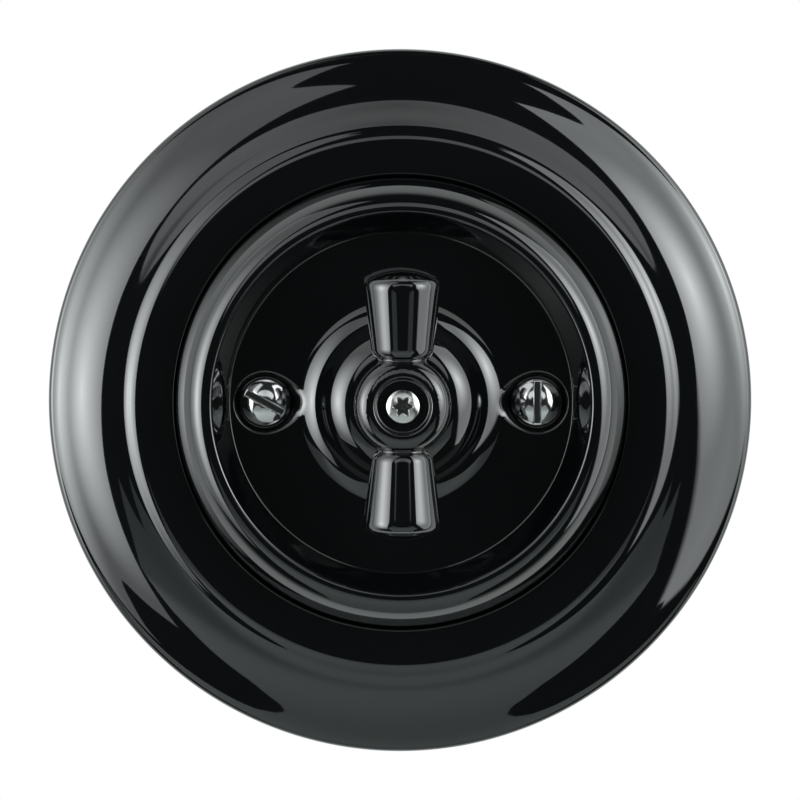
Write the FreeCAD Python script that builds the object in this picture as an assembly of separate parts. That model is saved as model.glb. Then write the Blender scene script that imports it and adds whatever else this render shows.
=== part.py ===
import FreeCAD, Part
import math
import os

# Porcelain rotary switch for a wall box, in millimetres.
# Every piece is drawn with the switch lying on its back: z is the height in front of the wall plane, and
# negative z is inside the wall box. on_the_wall() then turns each piece upright, so that the front of the
# switch faces -Y, +Z is up and the origin is the middle of the wall plane.

V = FreeCAD.Vector
MIDDLE = V(0, 0, 0)
FORWARD = V(0, 0, 1)

# Fits and clearances
FIT = 0.05
LOOSE = 0.15
RUNNING_GAP = 0.35
COVER_GAP = 0.25
OVERCUT = 1.0

# Rings of the front, as widths from the spindle outwards
DOME_CROWN_R = 6.5
DOME_WIDTH = 8.4
POCKET_RIM_R = 4.4
POCKET_MARGIN = 0.3
FLOOR_WIDTH = 2 * POCKET_RIM_R + POCKET_MARGIN
DISH_WALL_WIDTH = 3.45
BEAD_WIDTH = 4.45
LAND_WIDTH = 5.1
MOULDING_WIDTH = 13.0
DOME_FOOT_R = DOME_CROWN_R + DOME_WIDTH
DISH_FLOOR_R = DOME_FOOT_R + FLOOR_WIDTH
BEAD_INNER_R = DISH_FLOOR_R + DISH_WALL_WIDTH
COVER_R = BEAD_INNER_R + BEAD_WIDTH
LAND_R = COVER_R + LAND_WIDTH
FRAME_R = LAND_R + MOULDING_WIDTH
SCREW_X = DOME_FOOT_R + POCKET_RIM_R

# Outline of each ring, from the outside in: share of the ring's width, and slope in degrees, rising
# towards the middle
MOULDING_LINE = [(0.95, 20.0), (0.877, 33.0), (0.777, 40.0), (0.662, 33.0), (0.423, 20.0), (0.277, 11.0),
                 (0.177, 19.5), (0.123, 35.0), (0.05, 19.5), (0.0, 0.0)]
BEAD_FOOT_SLOPE = 80.0
BEAD_LINE = [(0.865, 60.0), (0.551, 50.0), (0.416, 40.0), (0.182, 19.3), (0.0, 0.0)]
DISH_WALL_LINE = [(0.783, -60.0), (0.174, -64.0), (0.0, 0.0)]
DOME_LINE = [(0.94, 17.0), (0.774, 29.0), (0.643, 43.0), (0.536, 50.0), (0.405, 43.0), (0.244, 29.0),
             (0.161, 19.5), (0.0, 0.0)]

# Frame ring
FRAME_EDGE_HEIGHT = 2.0
FRAME_BACK_RIM = 3.2
FRAME_RIM_BEVEL = 0.8
FRAME_RIM_FOOT = 1.3
FRAME_HOLLOW_SHARE = 0.42
FRAME_HOLLOW_DROP = 1.6
FRAME_SHELL = 3.0
FRAME_INNER_ROUND = 0.6

# Dish-shaped cover that clamps the frame
COVER_SEAT_WIDTH = 2.9
COVER_SEAT_DEPTH = 2.4
COVER_SEAT_PLAY = 0.2
LEDGE_THICKNESS = 2.9
LEDGE_WEB = 1.5
LEDGE_WEB_BEVEL = 1.0
COVER_SHELL = 2.8
COVER_UNDER_INSET = 0.7
BEAD_THICKNESS = 4.4
COVER_BOSS_R = 5.6
COVER_BOSS_ROOT = 0.5

# Knob of one piece: a hub with two flared arms
HUB_R = 6.85
HUB_BASE_R = 6.3
HUB_BASE_BEVEL = 0.8
HUB_EDGE_HEIGHT = 6.9
HUB_LINE = [(0.956, 62.0), (0.893, 48.0), (0.818, 31.0), (0.734, 19.3), (0.628, 2.0), (0.591, -50.0),
            (0.555, -60.0), (0.518, 0.0)]
HUB_RECESS_R = 4.3
KNOB_LENGTH = 38.0
ARM_AXIS_LIFT = 4.95
ARM_NECK_R = 3.3
ARM_NECK_END = 6.3
ARM_SHOULDER_LENGTH = 1.6
ARM_INNER_R = 4.41
ARM_END_R = 5.56
ARM_END_CROWN = 1.6
ARM_END_ROUND = 1.3
KNOB_SOCKET_DEPTH = 5.4

# Screw in the middle of the knob
KNOB_SCREW_HEAD_R = 2.3
KNOB_SCREW_HEAD = 1.2
KNOB_SCREW_R = 1.45
KNOB_SCREW_LENGTH = 7.0
LOBE_RECESS_R = 1.0
LOBE_R = 0.42
LOBE_COUNT = 6
LOBE_DEPTH = 0.8

# Cover screws, their pockets in the dish and the nuts behind them
COVER_SCREW_HEAD_R = 3.36
COVER_SCREW_HEAD_EDGE = 0.9
COVER_SCREW_HEAD = 2.3
COVER_SCREW_R = 1.75
COVER_SCREW_LENGTH = 12.6
COVER_SCREW_HOLE_R = 2.1
SLOT_WIDTH = 0.93
SLOT_DEPTH = 1.1
LEFT_SLOT_ANGLE = -28.7
RIGHT_SLOT_ANGLE = 90.0
POCKET_RIM_SLOPE = -12.0
POCKET_RIM_LIFT = 0.02
POCKET_LINE = [(0.932, -66.0), (0.875, -70.0), (0.784, 0.0)]
NUT_FLANGE_R = 3.2
NUT_FLANGE = 1.7
NUT_R = 2.4
NUT_TAIL = 1.6
NUT_WELL_DEPTH = 9.0

# Steel mounting plate with a slot for a wall box screw on each side
WALL_SCREW_SPACING = 60.0
WALL_SLOT_LENGTH = 8.0
WALL_SLOT_R = 2.0
PLATE_MARGIN = 1.5
PLATE_SIDE = WALL_SCREW_SPACING + WALL_SLOT_LENGTH + 2 * PLATE_MARGIN
PLATE_CORNER = 9.0
PLATE_THICKNESS = 1.2
PLATE_CORNER_ROUND = 1.0

# Insulating block behind the plate
BLOCK_WALL = 2.15
BLOCK_R = SCREW_X + NUT_R + LOOSE + BLOCK_WALL
BLOCK_EDGE = 0.8
BLOCK_JOINT_EDGE = 0.2
FRONT_DEPTH = 6.0
BLOCK_DEPTH = 24.0
CHAMBER_R = 13.0
CHAMBER_DEPTH = 12.0
RIVET_R = 1.6
RIVET_HEAD_R = 3.0
RIVET_HEAD = 0.8
RIVET_INSET = 5.0
RIVET_FRONT_BEVEL = 0.4
RIVET_BACK_BEVEL = 0.3
RIVET_Y = BLOCK_R - RIVET_INSET

# Spindle, bush and retaining ring
SPINDLE_R = 3.5
SQUARE = 4.9
SQUARE_ROOT = 0.5
SPINDLE_BORE_R = 4.0
BUSH_R = 5.5
BUSH_FLANGE_R = 7.5
BUSH_FLANGE = 2.0
BUSH_NOSE = 2.4
BUSH_BEVEL = 0.4
RING_R = 5.2
RING_THICKNESS = 0.8
RING_GROOVE = 0.5
RING_MOUTH = 4.4

# Rotor and springs
CAM_HALF = 5.5
CAM_CORNER_R = 7.2
CAM_DEPTH = 4.8
CAM_TOP_GAP = 0.8
DRUM_R = 6.2
DRUM_DEPTH = 4.9
ROTOR_FLOOR = 0.6
ROTOR_ROOT = 0.2
PIVOT_R = 2.0
PIVOT_LENGTH = 3.0
PIVOT_END_GAP = 0.4
SPRING_THICKNESS = 0.4
SPRING_HEIGHT = 3.6
SPRING_LENGTH = 22.4
SPRING_GAP = 0.1

# Contacts and terminals, four times round the block
TERMINAL_COUNT = 4
FIRST_TERMINAL_ANGLE = 45.0
TERMINAL_INSET = 6.4
TERMINAL_R = BLOCK_R - TERMINAL_INSET
TERMINAL_SIDE = 6.6
TERMINAL_HEIGHT = 7.4
TERMINAL_EDGE_ROUND = 0.5
CONTACT_WIDTH = 4.0
CONTACT_THICKNESS = 1.0
CONTACT_INNER_R = 8.6
CONTACT_TIP_R = 1.4
CONTACT_TIP = 0.35
CONTACT_TIP_INSET = 0.2
CONTACT_TOP_Z = -13.2
BRIDGE_THICKNESS = 0.5
BRIDGE_LENGTH = 22.0
BRIDGE_GAP = 0.1
WIRE_HOLE_R = 1.7
WIRE_ENTRY_R = 2.0
WIRE_HOLE_LIFT = 0.6
CLAMP_SCREW_R = 1.45
CLAMP_SCREW_HEAD_R = 2.6
CLAMP_SCREW_HEAD = 1.8
CLAMP_SCREW_HEAD_EDGE = 1.26
CLAMP_SCREW_LENGTH = 2.6
CLAMP_SLOT_DEPTH = 0.9


# Drawing helpers
def line(start, end):
    return Part.makeLine(V(start[0], 0, start[1]), V(end[0], 0, end[1]))


def polyline(points):
    return [line(start, end) for start, end in zip(points, points[1:])]


def turning_arc(start, end, degrees):
    """Arc from start to end whose direction turns to the left by that many degrees."""
    here = V(start[0], 0, start[1])
    there = V(end[0], 0, end[1])
    chord = there - here
    crest = (here + there) * 0.5 + V(chord.z, 0, -chord.x) * (math.tan(math.radians(degrees) / 4) / 2)
    return Part.Arc(here, crest, there).toShape()


def flowing_line(start, slope, stations):
    """Tangent arcs that run inwards from start through each (radius, slope); also gives the last height."""
    edges = []
    radius, height = start
    for next_radius, next_slope in stations:
        mean = math.radians((slope + next_slope) / 2)
        next_height = height + (radius - next_radius) * math.tan(mean)
        if slope == next_slope:
            edges.append(line((radius, height), (next_radius, next_height)))
        else:
            edges.append(turning_arc((radius, height), (next_radius, next_height), slope - next_slope))
        radius, height, slope = next_radius, next_height, next_slope
    return edges, height


def ring_line(start, slope, inner_r, width, shares):
    """The flowing line of a ring, whose stations are given as shares of its width."""
    return flowing_line(start, slope, [(inner_r + share * width, angle) for share, angle in shares])


def turned(edges):
    """A solid of revolution about the z axis from a closed outline in the XZ plane."""
    return Part.Face(Part.Wire(edges)).revolve(MIDDLE, FORWARD, 360)


def turned_points(points):
    return turned(polyline(points + points[:1]))


def disc(radius, low, high, x=0.0, y=0.0):
    return Part.makeCylinder(radius, high - low, V(x, y, low), FORWARD)


def block(size_x, size_y, low, high, x=0.0, y=0.0):
    return Part.makeBox(size_x, size_y, high - low, V(x - size_x / 2, y - size_y / 2, low))


def spun(shape, degrees):
    turned_shape = shape.copy()
    turned_shape.rotate(MIDDLE, FORWARD, degrees)
    return turned_shape


def on_the_wall(shape):
    """Turn a piece drawn on its back so that its front faces -Y."""
    upright = shape.copy()
    upright.rotate(MIDDLE, V(1, 0, 0), 90)
    return upright


def slot_tool(width, length, depth, top):
    return block(length, width, top - depth, top + depth)


# Outer skins, from the outside in
def frame_skin():
    return ring_line((FRAME_R, FRAME_EDGE_HEIGHT), 90.0, LAND_R, MOULDING_WIDTH, MOULDING_LINE)


LAND_Z = frame_skin()[1]


def cover_skin():
    """The bead, the dish wall, the floor and the dome; also gives the heights of bead, floor and dome."""
    bead, bead_top = ring_line((COVER_R, LAND_Z), BEAD_FOOT_SLOPE, BEAD_INNER_R, BEAD_WIDTH, BEAD_LINE)
    wall, floor = ring_line((BEAD_INNER_R, bead_top), 0.0, DISH_FLOOR_R, DISH_WALL_WIDTH, DISH_WALL_LINE)
    ground = [line((DISH_FLOOR_R, floor), (DOME_FOOT_R, floor))]
    dome, dome_top = ring_line((DOME_FOOT_R, floor), 0.0, DOME_CROWN_R, DOME_WIDTH, DOME_LINE)
    return bead + wall + ground + dome, bead_top, floor, dome_top


BEAD_Z, FLOOR_Z, DOME_Z = cover_skin()[1:]
COVER_SEAT_Z = LAND_Z - COVER_SEAT_DEPTH
POCKET_RIM_Z = FLOOR_Z + POCKET_RIM_LIFT
POCKET_Z = ring_line((POCKET_RIM_R, POCKET_RIM_Z), POCKET_RIM_SLOPE, 0.0, POCKET_RIM_R, POCKET_LINE)[1]
NUT_TOP_Z = PLATE_THICKNESS + NUT_FLANGE
HUB_Z = DOME_Z + RUNNING_GAP
HUB_TOP_EDGE_Z = HUB_Z + HUB_EDGE_HEIGHT
KNOB_RECESS_Z = ring_line((HUB_R, HUB_TOP_EDGE_Z), 90.0, 0.0, HUB_R, HUB_LINE)[1]
ARM_Z = HUB_Z + ARM_AXIS_LIFT
CAM_TOP_Z = -FRONT_DEPTH - CAM_TOP_GAP
CAM_LOW_Z = CAM_TOP_Z - CAM_DEPTH
BRIDGE_LOW_Z = CONTACT_TOP_Z + CONTACT_TIP + BRIDGE_GAP
CHAMBER_Z = -FRONT_DEPTH - CHAMBER_DEPTH
RING_LOW_Z = BUSH_NOSE + BRIDGE_GAP
ROTOR_BORE_Z = CAM_LOW_Z + ROTOR_FLOOR
SPINDLE_TOP_Z = HUB_Z + KNOB_SOCKET_DEPTH - FIT
SPINDLE_LOW_Z = ROTOR_BORE_Z + FIT
TERMINAL_TOP_Z = CONTACT_TOP_Z - CONTACT_THICKNESS - FIT
TERMINAL_LOW_Z = TERMINAL_TOP_Z - TERMINAL_HEIGHT
WIRE_Z = TERMINAL_TOP_Z - TERMINAL_HEIGHT / 2 + WIRE_HOLE_LIFT


# Porcelain
def make_frame_ring():
    skin, land = frame_skin()
    hole = COVER_R + COVER_GAP
    corner_r = hole + FRAME_INNER_ROUND
    inner_edge, inner_z = flowing_line((corner_r, land), 0.0, [(hole, -90.0)])
    ledge_r = COVER_R - COVER_SEAT_WIDTH
    ledge_low = COVER_SEAT_Z - LEDGE_THICKNESS
    web_r = hole + LEDGE_WEB
    under_land = land - FRAME_SHELL
    rim_r = FRAME_R - FRAME_BACK_RIM
    underside = [(hole, inner_z), (hole, COVER_SEAT_Z), (ledge_r, COVER_SEAT_Z), (ledge_r, ledge_low),
                 (web_r, ledge_low), (web_r + LEDGE_WEB_BEVEL, under_land), (LAND_R, under_land),
                 (LAND_R + FRAME_HOLLOW_SHARE * MOULDING_WIDTH, under_land - FRAME_HOLLOW_DROP),
                 (rim_r - FRAME_RIM_BEVEL, FRAME_RIM_FOOT), (rim_r, 0.0), (FRAME_R, 0.0),
                 (FRAME_R, FRAME_EDGE_HEIGHT)]
    land_edge = line((LAND_R, land), (corner_r, land))
    return turned(skin + [land_edge] + inner_edge + polyline(underside))


def pocket_tool(x):
    """The round, soft-edged well that a cover screw's head sits in."""
    rim, low = ring_line((POCKET_RIM_R, POCKET_RIM_Z), POCKET_RIM_SLOPE, 0.0, POCKET_RIM_R, POCKET_LINE)
    inner_r = POCKET_LINE[-1][0] * POCKET_RIM_R
    above = FLOOR_Z + OVERCUT
    closing = polyline([(inner_r, low), (0, low), (0, above), (POCKET_RIM_R, above),
                        (POCKET_RIM_R, POCKET_RIM_Z)])
    tool = turned(rim + closing)
    tool.translate(V(x, 0, 0))
    return tool


def make_cover_dish():
    skin, bead_top, floor, dome_top = cover_skin()
    under_floor = floor - COVER_SHELL
    under_dome = dome_top - COVER_SHELL
    seat_inner = COVER_R - COVER_SEAT_WIDTH + COVER_SEAT_PLAY
    underside = [(DOME_CROWN_R, dome_top), (SPINDLE_BORE_R, dome_top), (SPINDLE_BORE_R, under_dome),
                 (DOME_CROWN_R, under_dome), (DOME_FOOT_R - COVER_UNDER_INSET, under_floor),
                 (DISH_FLOOR_R + COVER_UNDER_INSET, under_floor), (BEAD_INNER_R, bead_top - BEAD_THICKNESS),
                 (seat_inner, COVER_SEAT_Z), (COVER_R, COVER_SEAT_Z), (COVER_R, LAND_Z)]
    dish = turned(skin + polyline(underside))
    for x in (-SCREW_X, SCREW_X):
        dish = dish.fuse(disc(COVER_BOSS_R, NUT_TOP_Z + FIT, under_floor + COVER_BOSS_ROOT, x))
    for x in (-SCREW_X, SCREW_X):
        dish = dish.cut(pocket_tool(x))
        dish = dish.cut(disc(COVER_SCREW_HOLE_R, 0, floor, x))
    return dish.removeSplitter()


def arm_outline():
    """Half section of an arm, from the middle of the knob out to the crown of its end."""
    tip = KNOB_LENGTH / 2
    end = tip - ARM_END_CROWN
    shoulder = ARM_NECK_END + ARM_SHOULDER_LENGTH
    flare = math.atan((ARM_END_R - ARM_INNER_R) / (end - shoulder))
    rise = math.atan((ARM_INNER_R - ARM_NECK_R) / ARM_SHOULDER_LENGTH)
    shoulder_turn = -2 * math.degrees(rise - flare)
    crown_r = (ARM_END_R ** 2 + ARM_END_CROWN ** 2) / (2 * ARM_END_CROWN)
    crown_turn = -math.degrees(math.asin(ARM_END_R / crown_r))
    return [line((0, 0), (0, ARM_NECK_R)),
            line((0, ARM_NECK_R), (ARM_NECK_END, ARM_NECK_R)),
            turning_arc((ARM_NECK_END, ARM_NECK_R), (shoulder, ARM_INNER_R), shoulder_turn),
            line((shoulder, ARM_INNER_R), (end, ARM_END_R)),
            turning_arc((end, ARM_END_R), (tip, 0), crown_turn),
            line((tip, 0), (0, 0))]


def make_arm():
    """One flared arm along +Y, with its axis at the height of the arms."""
    arm = Part.Face(Part.Wire(arm_outline())).revolve(MIDDLE, V(1, 0, 0), 360)
    end = KNOB_LENGTH / 2 - ARM_END_CROWN
    rims = [edge for edge in arm.Edges
            if abs(edge.BoundBox.XMin - end) < FIT and edge.BoundBox.XLength < FIT
            and abs(edge.BoundBox.YMax - ARM_END_R) < FIT]
    arm = arm.makeFillet(ARM_END_ROUND, rims)
    arm.rotate(MIDDLE, FORWARD, 90)
    arm.translate(V(0, 0, ARM_Z))
    return arm


def knob_hub_outline():
    shoulder = ring_line((HUB_R, HUB_TOP_EDGE_Z), 90.0, 0.0, HUB_R, HUB_LINE)[0]
    floor_r = HUB_LINE[-1][0] * HUB_R
    rest = polyline([(floor_r, KNOB_RECESS_Z), (0, KNOB_RECESS_Z), (0, HUB_Z), (HUB_BASE_R, HUB_Z),
                     (HUB_R, HUB_Z + HUB_BASE_BEVEL), (HUB_R, HUB_TOP_EDGE_Z)])
    return shoulder + rest


def make_knob():
    knob = turned(knob_hub_outline())
    arm = make_arm()
    arms = arm.fuse(spun(arm, 180)).cut(disc(HUB_RECESS_R, KNOB_RECESS_Z, ARM_Z + ARM_END_R))
    knob = knob.fuse(arms)
    socket = SQUARE + 2 * FIT
    knob = knob.cut(block(socket, socket, HUB_Z - OVERCUT, HUB_Z + KNOB_SOCKET_DEPTH))
    knob = knob.cut(disc(KNOB_SCREW_R + LOOSE, HUB_Z, KNOB_RECESS_Z + OVERCUT))
    return knob.removeSplitter()


# Screws
def pan_head(radius, side, height, seat):
    """A domed head that stands on its seat."""
    crown = height - side
    dome_r = (radius ** 2 + crown ** 2) / (2 * crown)
    crown_turn = math.degrees(math.asin(radius / dome_r))
    edges = polyline([(0, seat), (radius, seat), (radius, seat + side)])
    edges.append(turning_arc((radius, seat + side), (0, seat + height), crown_turn))
    edges.append(line((0, seat + height), (0, seat)))
    return turned(edges)


def pointed_shank(radius, seat, length):
    tip = radius / 2
    return turned_points([(0, seat), (radius, seat), (radius, seat - length + tip),
                          (radius - tip, seat - length), (0, seat - length)])


def make_cover_screw(x, slot_angle):
    head = pan_head(COVER_SCREW_HEAD_R, COVER_SCREW_HEAD_EDGE, COVER_SCREW_HEAD, POCKET_Z)
    slot = spun(slot_tool(SLOT_WIDTH, 3 * COVER_SCREW_HEAD_R, SLOT_DEPTH, POCKET_Z + COVER_SCREW_HEAD),
                slot_angle)
    screw = head.cut(slot).fuse(pointed_shank(COVER_SCREW_R, POCKET_Z, COVER_SCREW_LENGTH))
    screw.translate(V(x, 0, 0))
    return screw.removeSplitter()


def lobed_recess(top):
    """Six-lobed driving recess."""
    recess = disc(LOBE_RECESS_R, top - LOBE_DEPTH, top + OVERCUT)
    for number in range(LOBE_COUNT):
        angle = 2 * math.pi * number / LOBE_COUNT
        recess = recess.fuse(disc(LOBE_R, top - LOBE_DEPTH, top + OVERCUT,
                                  LOBE_RECESS_R * math.cos(angle), LOBE_RECESS_R * math.sin(angle)))
    return recess


def make_knob_screw():
    head = pan_head(KNOB_SCREW_HEAD_R, KNOB_SCREW_HEAD / 2, KNOB_SCREW_HEAD, KNOB_RECESS_Z)
    head = head.cut(lobed_recess(KNOB_RECESS_Z + KNOB_SCREW_HEAD))
    return head.fuse(pointed_shank(KNOB_SCREW_R, KNOB_RECESS_Z, KNOB_SCREW_LENGTH)).removeSplitter()


def make_cover_nut(x):
    """Threaded nut set in the plate for a cover screw."""
    hole = COVER_SCREW_R + FIT
    nut = turned_points([(hole, NUT_TOP_Z), (NUT_FLANGE_R, NUT_TOP_Z), (NUT_FLANGE_R, PLATE_THICKNESS),
                         (NUT_R, PLATE_THICKNESS), (NUT_R, -NUT_TAIL), (hole, -NUT_TAIL)])
    nut.translate(V(x, 0, 0))
    return nut


# Mounting plate and mechanism block
def make_mounting_plate():
    half = PLATE_SIDE / 2
    cut = half - PLATE_CORNER
    corners = [(half, -cut), (half, cut), (cut, half), (-cut, half),
               (-half, cut), (-half, -cut), (-cut, -half), (cut, -half)]
    outline = Part.makePolygon([V(x, y, 0) for x, y in corners + corners[:1]])
    plate = Part.Face(outline).extrude(V(0, 0, PLATE_THICKNESS))
    upright = [edge for edge in plate.Edges if edge.BoundBox.ZLength > PLATE_THICKNESS / 2]
    plate = plate.makeFillet(PLATE_CORNER_ROUND, upright)
    low = -OVERCUT
    high = PLATE_THICKNESS + OVERCUT
    plate = plate.cut(disc(BUSH_R + FIT, low, high))
    straight = WALL_SLOT_LENGTH - 2 * WALL_SLOT_R
    centre = WALL_SCREW_SPACING / 2
    slot = block(straight, 2 * WALL_SLOT_R, low, high, centre)
    for side in (-1, 1):
        slot = slot.fuse(disc(WALL_SLOT_R, low, high, centre + side * straight / 2))
    for angle in (0, 90, 180, 270):
        plate = plate.cut(spun(slot, angle))
    for x in (-SCREW_X, SCREW_X):
        plate = plate.cut(disc(NUT_R + FIT, low, high, x))
    for y in (-RIVET_Y, RIVET_Y):
        plate = plate.cut(disc(RIVET_R + FIT, low, high, 0, y))
    return plate.removeSplitter()


def block_disc(low, high, edge_low, edge_high):
    """A round of the block with bevelled edges."""
    return turned_points([(0, low), (BLOCK_R - edge_low, low), (BLOCK_R, low + edge_low),
                          (BLOCK_R, high - edge_high), (BLOCK_R - edge_high, high), (0, high)])


def make_mechanism_front():
    front = block_disc(-FRONT_DEPTH, 0, BLOCK_JOINT_EDGE, BLOCK_EDGE)
    low = -FRONT_DEPTH - OVERCUT
    front = front.cut(disc(BUSH_R + FIT, low, OVERCUT))
    front = front.cut(disc(BUSH_FLANGE_R + FIT, -BUSH_FLANGE, OVERCUT))
    for x in (-SCREW_X, SCREW_X):
        front = front.cut(disc(NUT_R + LOOSE, low, OVERCUT, x))
    for y in (-RIVET_Y, RIVET_Y):
        front = front.cut(disc(RIVET_R + FIT, low, OVERCUT, 0, y))
    return front


def make_mechanism_base():
    base = block_disc(-BLOCK_DEPTH, -FRONT_DEPTH, BLOCK_EDGE, BLOCK_JOINT_EDGE)
    base = base.cut(disc(CHAMBER_R, CHAMBER_Z, 0))
    base = base.cut(disc(PIVOT_R + FIT, CHAMBER_Z - PIVOT_LENGTH, 0))
    for x in (-SCREW_X, SCREW_X):
        base = base.cut(disc(NUT_R + LOOSE, -NUT_WELL_DEPTH, 0, x))
    for y in (-RIVET_Y, RIVET_Y):
        base = base.cut(disc(RIVET_R + FIT, -BLOCK_DEPTH - OVERCUT, 0, 0, y))
    well = TERMINAL_SIDE + 2 * LOOSE
    contact_end = TERMINAL_R + well / 2
    slot_length = contact_end - CHAMBER_R + OVERCUT
    tool = block(well, well, -BLOCK_DEPTH - OVERCUT, CONTACT_TOP_Z + FIT, TERMINAL_R)
    tool = tool.fuse(block(slot_length, CONTACT_WIDTH + 2 * LOOSE, CONTACT_TOP_Z - CONTACT_THICKNESS,
                           CONTACT_TOP_Z + FIT, contact_end - slot_length / 2))
    tool = tool.fuse(Part.makeCylinder(WIRE_ENTRY_R, BLOCK_R, V(TERMINAL_R, 0, WIRE_Z), V(1, 0, 0)))
    for angle in terminal_angles():
        base = base.cut(spun(tool, angle))
    return base


def make_rivets():
    """Two rivets that run through the plate and the whole block."""
    rivets = []
    head_top = PLATE_THICKNESS + RIVET_HEAD
    tail = -BLOCK_DEPTH
    tail_end = tail - RIVET_HEAD
    for y in (-RIVET_Y, RIVET_Y):
        rivet = turned_points([(0, tail_end), (RIVET_HEAD_R - RIVET_BACK_BEVEL, tail_end),
                               (RIVET_HEAD_R, tail_end + RIVET_BACK_BEVEL), (RIVET_HEAD_R, tail),
                               (RIVET_R, tail), (RIVET_R, PLATE_THICKNESS), (RIVET_HEAD_R, PLATE_THICKNESS),
                               (RIVET_HEAD_R, head_top - RIVET_FRONT_BEVEL),
                               (RIVET_HEAD_R - RIVET_FRONT_BEVEL, head_top), (0, head_top)])
        rivet.translate(V(0, y, 0))
        rivets.append(rivet)
    return Part.makeCompound(rivets)


# Spindle group
def make_spindle_bush():
    bore = SPINDLE_R + FIT
    return turned_points([(bore, -FRONT_DEPTH), (BUSH_R, -FRONT_DEPTH), (BUSH_R, -BUSH_FLANGE),
                          (BUSH_FLANGE_R, -BUSH_FLANGE), (BUSH_FLANGE_R, 0), (BUSH_R, 0),
                          (BUSH_R, BUSH_NOSE - BUSH_BEVEL), (BUSH_R - BUSH_BEVEL, BUSH_NOSE),
                          (bore, BUSH_NOSE)])


def make_spindle():
    """Round through the bush, square where it carries the knob and the rotor."""
    round_low = -FRONT_DEPTH - LOOSE
    round_high = HUB_Z - FIT
    spindle = disc(SPINDLE_R, round_low, round_high)
    spindle = spindle.fuse(block(SQUARE, SQUARE, round_high - SQUARE_ROOT, SPINDLE_TOP_Z))
    spindle = spindle.fuse(block(SQUARE, SQUARE, SPINDLE_LOW_Z, round_low + SQUARE_ROOT))
    ring_high = RING_LOW_Z + RING_THICKNESS
    groove = disc(SPINDLE_R + OVERCUT, RING_LOW_Z - FIT, ring_high + FIT)
    groove = groove.cut(disc(SPINDLE_R - RING_GROOVE, RING_LOW_Z - OVERCUT, ring_high + OVERCUT))
    spindle = spindle.cut(groove)
    screw_end = KNOB_RECESS_Z - KNOB_SCREW_LENGTH
    spindle = spindle.cut(disc(KNOB_SCREW_R + FIT, screw_end - SQUARE_ROOT, SPINDLE_TOP_Z + OVERCUT))
    return spindle.removeSplitter()


def make_retaining_ring():
    low = RING_LOW_Z - OVERCUT
    high = RING_LOW_Z + RING_THICKNESS + OVERCUT
    ring = disc(RING_R, RING_LOW_Z, RING_LOW_Z + RING_THICKNESS)
    ring = ring.cut(disc(SPINDLE_R - RING_GROOVE + FIT, low, high))
    return ring.cut(block(2 * RING_R, RING_MOUTH, low, high, RING_R))


def make_rotor():
    """Square cam with rounded corners on a drum, and the pivot that turns in the base."""
    side = 2 * CAM_HALF
    cam = block(side, side, CAM_LOW_Z, CAM_TOP_Z).common(disc(CAM_CORNER_R, CAM_LOW_Z, CAM_TOP_Z))
    drum_low = CAM_LOW_Z - DRUM_DEPTH
    rotor = cam.fuse(disc(DRUM_R, drum_low, CAM_LOW_Z + ROTOR_ROOT))
    rotor = rotor.fuse(disc(PIVOT_R, CHAMBER_Z - PIVOT_LENGTH + PIVOT_END_GAP, drum_low + ROTOR_ROOT))
    socket = SQUARE + 2 * FIT
    rotor = rotor.cut(block(socket, socket, ROTOR_BORE_Z, CAM_TOP_Z + OVERCUT))
    bridge_slot = block(3 * DRUM_R, CONTACT_WIDTH + 2 * FIT, BRIDGE_LOW_Z - FIT,
                        BRIDGE_LOW_Z + BRIDGE_THICKNESS + FIT)
    return rotor.cut(spun(bridge_slot, FIRST_TERMINAL_ANGLE))


def make_contact_bridge():
    bridge = block(BRIDGE_LENGTH, CONTACT_WIDTH, BRIDGE_LOW_Z, BRIDGE_LOW_Z + BRIDGE_THICKNESS)
    upright = [edge for edge in bridge.Edges if edge.BoundBox.ZLength > BRIDGE_THICKNESS / 2]
    return spun(bridge.makeFillet(CONTACT_WIDTH / 4, upright), FIRST_TERMINAL_ANGLE)


def make_detent_spring(side):
    """Leaf spring that lies along a flat of the cam."""
    y = side * (CAM_HALF + SPRING_GAP + SPRING_THICKNESS / 2)
    low = (CAM_TOP_Z + CAM_LOW_Z - SPRING_HEIGHT) / 2
    return block(SPRING_LENGTH, SPRING_THICKNESS, low, low + SPRING_HEIGHT, 0, y)


# Terminals
def terminal_angles():
    return [FIRST_TERMINAL_ANGLE + 360.0 * number / TERMINAL_COUNT for number in range(TERMINAL_COUNT)]


def make_fixed_contact(angle):
    """Strip that runs from under the bridge out to its terminal, with a raised contact tip."""
    low = CONTACT_TOP_Z - CONTACT_THICKNESS
    outer = TERMINAL_R + TERMINAL_SIDE / 2
    tip_r = CONTACT_INNER_R + CONTACT_TIP_R + CONTACT_TIP_INSET
    strip = block(outer - CONTACT_INNER_R, CONTACT_WIDTH, low, CONTACT_TOP_Z, (outer + CONTACT_INNER_R) / 2)
    tip = disc(CONTACT_TIP_R, low, CONTACT_TOP_Z + CONTACT_TIP, tip_r)
    return spun(strip.fuse(tip).removeSplitter(), angle)


def make_terminal_clamp(angle):
    clamp = block(TERMINAL_SIDE, TERMINAL_SIDE, TERMINAL_LOW_Z, TERMINAL_TOP_Z, TERMINAL_R)
    upright = [edge for edge in clamp.Edges if edge.BoundBox.ZLength > TERMINAL_HEIGHT / 2]
    clamp = clamp.makeFillet(TERMINAL_EDGE_ROUND, upright)
    clamp = clamp.cut(Part.makeCylinder(WIRE_HOLE_R, 2 * TERMINAL_SIDE,
                                        V(TERMINAL_R - TERMINAL_SIDE, 0, WIRE_Z), V(1, 0, 0)))
    return spun(clamp.cut(disc(CLAMP_SCREW_R + FIT, TERMINAL_LOW_Z - OVERCUT, WIRE_Z, TERMINAL_R)), angle)


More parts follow.
